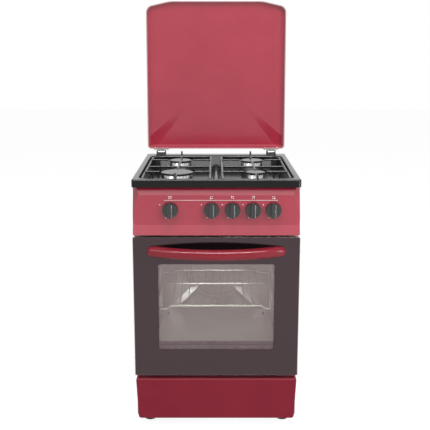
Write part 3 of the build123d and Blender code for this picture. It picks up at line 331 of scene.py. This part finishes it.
burner_names = ["front_left", "back_left", "back_right", "front_right"]
tap_numbers = range(1, 6)
knob_names = ["knob_%d" % number for number in tap_numbers]
plated = bright_steel("zinc_plated_steel", colours=("#A7A6A2", "#BDBCB8"))
stainless = bright_steel("stainless_tube", colours=("#8C8A87", "#9E9C99"))
die_cast_zinc = pale_metal("die_cast_zinc", colours=("#9A9A99", "#ABABAA"), rough=(0.3, 0.42))
cast_aluminium = pale_metal("cast_aluminium", colours=("#A9A9A9", "#BCBCBC"), rough=(0.16, 0.26))
tube_aluminium = pale_metal("drawn_aluminium_tube", colours=("#B4B5B6", "#C4C5C6"), rough=(0.24, 0.34))
bronze_glass = glass_finish("tempered_glass_bronze", colour="#E0E1DC", ior=1.7, shine="#FFDCE4")
clear_glass = glass_finish("tempered_glass_clear", colour="#F2F2F0", ior=1.5, shine="#FFFFFF")
finishes = [
    (red_enamel, ["lid_panel", "control_panel"]),
    (shaded_drawer_paint, ["drawer_front"]),
    (side_enamel, ["side_panel_left", "side_panel_right"]),
    (handle_finish(), ["door_handle"]),
    (hob_enamel, ["hob_top"]),
    (cap_finish(), ["burner_cap_" + name for name in burner_names]),
    (burner_finish(), ["burner_head_" + name for name in burner_names]),
    (cast_aluminium, ["burner_cups"]),
    (wire_finish(), ["pan_support_left", "pan_support_right"]),
    (zinc_finish(), ["back_panel", "base_pan", "sill_rail", "drawer_tray", "drawer_runners",
                     "door_inner_frame"]),
    (plated, ["back_panel_screws", "lid_screws", "lid_hinge_pins", "door_hinge_arms",
              "door_hinge_brackets"]),
    (plated, ["tap_spindle_%d" % number for number in tap_numbers]),
    (die_cast_zinc, ["lid_hinge_leaves"]),
    (nylon_finish(), ["lid_hinge_bases", "adjustable_feet"]),
    (knob_finish(), knob_names),
    (brass_finish(), ["gas_taps"] + ["tap_plug_%d" % number for number in tap_numbers]),
    (tube_aluminium, ["gas_pipes", "gas_manifold"]),
    (oven_enamel, ["oven_cavity", "oven_floor_plate"]),
    (chrome_finish(), ["oven_shelf", "shelf_runners"]),
    (stainless, ["oven_burner"]),
    (wool_finish(), ["oven_insulation"]),
    (seal_finish(), ["door_seal"]),
    (bronze_glass, ["door_outer_glass"]),
    (clear_glass, ["door_inner_glass"]),
]
for material, names in finishes:
    for name in names:
        nodes[name].data.materials.clear()
        nodes[name].data.materials.append(material)


# Thin printed sheets, drawn in the upright plane of the front
def rounded(x0, x1, z0, z1, radius, steps=6):
    """Points of an upright rectangle with round corners, in millimetres."""
    points = []
    middles = ((x1 - radius, z1 - radius), (x0 + radius, z1 - radius), (x0 + radius, z0 + radius),
               (x1 - radius, z0 + radius))
    for quarter, (x, z) in enumerate(middles):
        for step in range(steps + 1):
            angle = math.radians(90) * (quarter + step / steps)
            points.append((x + radius * math.cos(angle), z + radius * math.sin(angle)))
    return points


def circle(x, z, radius, steps=24):
    """Points of an upright circle, in millimetres."""
    points = []
    for step in range(steps):
        angle = math.tau * step / steps
        points.append((x + radius * math.cos(angle), z + radius * math.sin(angle)))
    return points


def upright_sheet(mesh, outline, front, thick, hole=None):
    """A flat sheet of that outline, with or without a hole of as many points."""
    rings = []
    for y in (front, front + thick):
        for points in (outline, hole) if hole else (outline,):
            rings.append([mesh.verts.new(place(x, y, z)) for x, z in points])
    count = len(outline)
    turns = [(a, (a + 1) % count) for a in range(count)]
    if hole:
        front_out, front_in, back_out, back_in = rings
        strips = ((front_out, front_in), (front_in, back_in), (back_in, back_out), (back_out, front_out))
    else:
        front_out, back_out = rings
        mesh.faces.new(front_out)
        mesh.faces.new(back_out)
        strips = ((front_out, back_out),)
    for one, other in strips:
        for a, b in turns:
            mesh.faces.new((one[a], one[b], other[b], other[a]))


def printed(name, material, body, sheets):
    """One printed piece made of flat sheets: (outline, front, thickness, hole) each."""
    mesh = bmesh.new()
    for sheet in sheets:
        upright_sheet(mesh, *sheet)
    bmesh.ops.recalc_face_normals(mesh, faces=mesh.faces)
    data = bpy.data.meshes.new(name)
    mesh.to_mesh(data)
    mesh.free()
    data.materials.append(material)
    piece = bpy.data.objects.new(name, data)
    bpy.context.scene.collection.objects.link(piece)
    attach(piece, body)


# Dark border printed on the door's glass, open at the window, with its back just inside the glass
ink_thick = 0.15
ink_front = -0.1
ink_margin = 1.5
ink_corner = 2.5
window_half = 174.0
window_low = 274.0
window_high = 543.5
window_corner = 7.0
glass_low, glass_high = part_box("door_outer_glass")
ink_outline = rounded(glass_low[0] / MM + ink_margin, glass_high[0] / MM - ink_margin,
                      glass_low[2] / MM + ink_margin, glass_high[2] / MM - ink_margin, ink_corner)
window_outline = rounded(-window_half, window_half, window_low, window_high, window_corner)
border = (ink_outline, ink_front, ink_thick, window_outline)
printed("door_glass_border", border_finish(), "oven_door", [border])

# White line, dots and signs printed on the upright part of the control panel
panel_face = 10.0
film_thick = 0.12
panel_front = panel_face - film_thick
knob_height = 708.0
knob_places = []
for name in knob_names:
    knob_low, knob_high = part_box(name)
    knob_places.append((knob_low[0] + knob_high[0]) / 2 / MM)
line_left = -155.0
line_right = 182.0
line_low = 736.2
line_high = 737.4
line_corner = 0.4
outlines = [(rounded(line_left, line_right, line_low, line_high, line_corner), None)]

# Two dots beside each knob: degrees to the left of its top, and reach from its middle
knob_dots = ((63, 34), (152, 28))
knob_dot_radius = 1.6
for x in knob_places:
    for angle, reach in knob_dots:
        turn = math.radians(90 + angle)
        dot_x = x + reach * math.cos(turn)
        dot_z = knob_height + reach * math.sin(turn)
        outlines.append((circle(dot_x, dot_z, knob_dot_radius), None))

# Four spots over each burner's knob, with that burner's own spot larger
sign_height = 745.0
spot_step = 2.6
spot_small = 1.3
spot_large = 2.3
burner_spots = [(-1, -1), (-1, 1), (1, 1), (1, -1)]
for x, chosen in zip(knob_places[1:], burner_spots):
    for spot in burner_spots:
        radius = spot_large if spot == chosen else spot_small
        spot_x = x + spot[0] * spot_step
        spot_z = sign_height + spot[1] * spot_step
        outlines.append((circle(spot_x, spot_z, radius), None))

# Small oven over the first knob: a frame with a wider bar on top
oven_x = knob_places[0]
oven_half = 5.0
oven_rise = 3.4
oven_corner = 1.0
oven_rim = 1.0
oven_bar = 2.2
oven_hole_corner = 0.5
oven_frame = rounded(oven_x - oven_half, oven_x + oven_half, sign_height - oven_rise,
                     sign_height + oven_rise, oven_corner)
oven_hole = rounded(oven_x - oven_half + oven_rim, oven_x + oven_half - oven_rim,
                    sign_height - oven_rise + oven_rim, sign_height + oven_rise - oven_bar,
                    oven_hole_corner)
outlines.append((oven_frame, oven_hole))
marks = [(outline, panel_front, film_thick, hole) for outline, hole in outlines]
printed("control_panel_marks", print_finish(), "cooker", marks)


# Studio
def seen_directly(tree):
    """1 for rays from the camera, from a gloss or through glass, and 0 for light on a surface."""
    path = add(tree, "ShaderNodeLightPath")
    first = add(tree, "ShaderNodeMath", {
        0: path.outputs["Is Camera Ray"],
        1: path.outputs["Is Glossy Ray"],
    }, operation="MAXIMUM")
    both = add(tree, "ShaderNodeMath", {
        0: first.outputs[0],
        1: path.outputs["Is Transmission Ray"],
    }, operation="MAXIMUM")
    return both.outputs[0]


# Pale painted floor: it takes the shadow and is lifted to white where it is seen
def floor_finish():
    lift_to_white = 0.76
    material, tree, shader = finish("painted_floor_pale", Roughness=0.9, Base_Color=linear("#B8B8B8"),
                                    Emission_Color=linear("#FFFFFF"))
    lift = add(tree, "ShaderNodeMath", {0: seen_directly(tree), 1: lift_to_white}, operation="MULTIPLY")
    tree.links.new(lift.outputs[0], shader.inputs["Emission Strength"])
    return material


def lay_floor(reach):
    """A square floor that reaches that many metres each way, which isn't part of the cooker."""
    corners = [(-reach, -reach, 0), (reach, -reach, 0), (reach, reach, 0), (-reach, reach, 0)]
    data = bpy.data.meshes.new("floor")
    data.from_pydata(corners, [], [(0, 1, 2, 3)])
    data.materials.append(floor_finish())
    floor = bpy.data.objects.new("floor", data)
    bpy.context.scene.collection.objects.link(floor)


floor_reach = 12.0
lay_floor(floor_reach)

# White where it is seen, and a soft light from all round
ambient = 0.32
world = bpy.data.worlds.new("studio")
bpy.context.scene.world = world
world.use_nodes = True
sky = world.node_tree
level = add(sky, "ShaderNodeMapRange", {"Value": seen_directly(sky), "To Min": ambient, "To Max": 1.0})
background = sky.nodes["Background"]
background.inputs["Color"].default_value = linear("#FFFFFF")
sky.links.new(level.outputs["Result"], background.inputs["Strength"])


def softbox(name, where, aim, width, height, watts):
    """A rectangular lamp at one point, turned to another, in metres."""
    lamp = bpy.data.lights.new(name, "AREA")
    lamp.shape = "RECTANGLE"
    lamp.size = width
    lamp.size_y = height
    lamp.energy = watts
    holder = bpy.data.objects.new(name, lamp)
    bpy.context.scene.collection.objects.link(holder)
    holder.location = where
    holder.rotation_euler = (Vector(aim) - Vector(where)).to_track_quat("-Z", "Y").to_euler()
    return holder


def highlight(name, where, aim, width, height, watts, beam=180):
    """A lamp that shows only in a gloss, with the angle of its beam in degrees."""
    holder = softbox(name, where, aim, width, height, watts)
    holder.visible_diffuse = False
    holder.visible_camera = False
    holder.data.spread = math.radians(beam)


middle = (0, 0, 0.75)
hob_middle = (0, -0.1, 0.8)
right = softbox("softbox_right", where=(2.6, -2.6, 1.9), aim=middle, width=1.4, height=2.0, watts=70)
# From behind, the hob would mirror this lamp as a white sheet
right.visible_glossy = False
softbox("softbox_left", where=(-2.6, -2.6, 2.2), aim=middle, width=1.4, height=2.0, watts=31)
softbox("softbox_front", where=(0.4, -3.6, 2.6), aim=middle, width=3.4, height=1.2, watts=8)
softbox("softbox_top", where=(0.2, -1.5, 3.3), aim=hob_middle, width=1.8, height=1.2, watts=38)
# Inside the oven, under its top
softbox("oven_light", where=place(0, 150, 548), aim=place(0, 330, 330),
        width=0.22, height=0.08, watts=0.8)
# Along the handle and down the knobs
highlight("strip_above", where=(0.1, -2.4, 3.05), aim=middle, width=4.2, height=0.3, watts=210)
highlight("strip_right", where=(2.8, -2.19, 0.6), aim=middle, width=0.3, height=1.2, watts=45)
# On the two slanting ribs of the oven's back wall
for word, side in (("left", -1), ("right", 1)):
    highlight("oven_glow_" + word, where=place(side * 170, 300, 352), aim=place(side * 115, 450, 284),
              width=0.06, height=0.06, watts=0.2, beam=50)

# The lid isn't mirrored in the hob, which shows the pale studio instead
nodes["lid_panel"].visible_glossy = False

# Camera, placed from the door's face
camera_left = 4
camera_away = 2162
camera_height = 1181
tilt_down = 11.04
camera_data = bpy.data.cameras.new("camera")
camera_data.sensor_width = 36
camera_data.lens = 62.9
camera_data.shift_y = -0.05
camera = bpy.data.objects.new("camera", camera_data)
bpy.context.scene.collection.objects.link(camera)
camera.location = place(-camera_left, -camera_away, camera_height)
camera.rotation_euler = (math.radians(90 - tilt_down), 0, 0)
bpy.context.scene.camera = camera
bpy.context.scene.view_settings.view_transform = "Standard"
